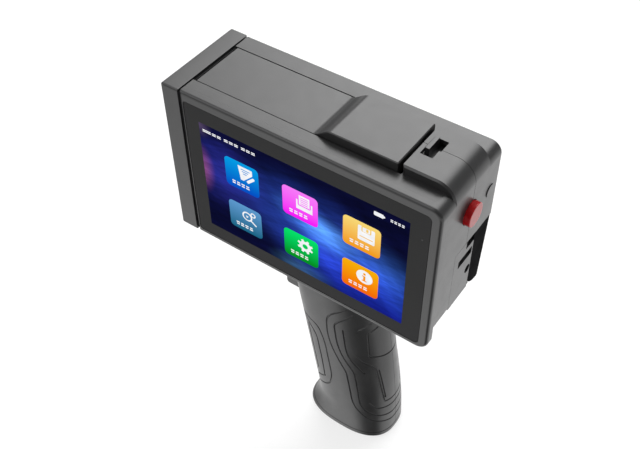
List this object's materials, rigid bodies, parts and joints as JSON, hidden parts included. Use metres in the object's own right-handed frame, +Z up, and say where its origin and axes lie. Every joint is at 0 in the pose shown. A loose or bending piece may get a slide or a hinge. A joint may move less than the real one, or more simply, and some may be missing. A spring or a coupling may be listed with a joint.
{
  "type": "date code inkjet printer",
  "caption": "Hand-held inkjet date coder: touch-screen head on a pistol grip, with hinged cartridge lid, trigger, power button and slide-out battery.",
  "frame": {"origin": "middle of the grip's base, where it meets the table", "axes": "+Z up; -X towards the printing face and +X towards the end with the ports; -Y towards the screen and +Y towards the back cover"},
  "size_m": [0.1454, 0.0492, 0.2115],
  "materials": {
    "shell": "satin dark grey, fine-grained",
    "black_plastic": "matte black",
    "glass": "black-printed cover glass",
    "display": "lit colour display",
    "ribbon": "amber film",
    "red_button": "semi-gloss red",
    "steel": "bright",
    "screw": "black-oxide steel",
    "gold": "gold-plated",
    "board": "green solder mask",
    "rubber": "matte"
  },
  "bodies": {
    "printer": {"base_cap": "shell", "battery_contacts": "gold", "bezel_frame": "shell", "button_switch": "black_plastic", "buzzer": "black_plastic", "cartridge_bay": "black_plastic", "cartridge_contacts": "gold", "dc_jack": "black_plastic", "encoder_axle": "steel", "end_plug": "shell", "front_shell": "shell", "grip_front": "shell", "grip_rear": "shell", "grip_screw_1": "screw", "grip_screw_2": "screw", "grip_screw_3": "screw", "ink_cartridge": "black_plastic", "latch_spring": "steel", "lcd_panel": "display", "lcd_ribbon": "ribbon", "lid_hinge_pin": "steel", "main_board": "board", "nozzle_plate": "gold", "port_board": "board", "port_panel": "shell", "print_plate": "shell", "rear_shell": "shell", "shell_screw_1": "screw", "shell_screw_2": "screw", "shell_screw_3": "screw", "shell_screw_4": "screw", "touch_glass": "glass", "trigger_cable": "black_plastic", "trigger_pin": "steel", "trigger_spring": "steel", "trigger_switch": "black_plastic", "usb_port": "steel"},
    "lid": {"cartridge_lid": "shell"},
    "latch": {"lid_latch": "shell"},
    "button": {"power_button": "red_button"},
    "trigger_blade": {"trigger": "shell"},
    "battery": {"battery_pack": "black_plastic"},
    "battery_slide_latch": {"battery_latch": "black_plastic"},
    "encoder": {"encoder_wheel": "black_plastic", "encoder_tyre": "rubber"}
  },
  "joints": [
    {"name": "lid_hinge", "type": "hinge", "parent": "printer", "child": "lid", "pos_m": [-0.0746, 0, 0.2028], "axis": [0, -1, 0], "range_deg": [0, 100]},
    {"name": "lid_latch_slide", "type": "slide", "parent": "printer", "child": "latch", "axis": [1, 0, 0], "range_m": [0, 0.003], "stiffness_N_per_m": 400, "springref_m": -0.001, "deforming": ["latch_spring"]},
    {"name": "power_button_press", "type": "slide", "parent": "printer", "child": "button", "axis": [-1, 0, 0], "range_m": [0, 0.001], "stiffness_N_per_m": 1200, "springref_m": -0.0003},
    {"name": "trigger_pull", "type": "hinge", "parent": "printer", "child": "trigger_blade", "pos_m": [-0.033, 0, 0.1167], "axis": [0, -1, 0], "range_deg": [0, 8], "stiffness_Nm_per_rad": 0.5, "springref_deg": -4.58, "deforming": ["trigger_spring"]},
    {"name": "battery_slide", "type": "slide", "parent": "printer", "child": "battery", "axis": [1, 0, 0], "range_m": [0, 0.04]},
    {"name": "battery_latch_slide", "type": "slide", "parent": "printer", "child": "battery_slide_latch", "axis": [0, -1, 0], "range_m": [0, 0.0022], "stiffness_N_per_m": 400, "springref_m": -0.001},
    {"name": "encoder_spin", "type": "hinge", "parent": "printer", "child": "encoder", "pos_m": [-0.0867, -0.0017, 0.1867], "axis": [0, 0, 1], "continuous": true}
  ]
}
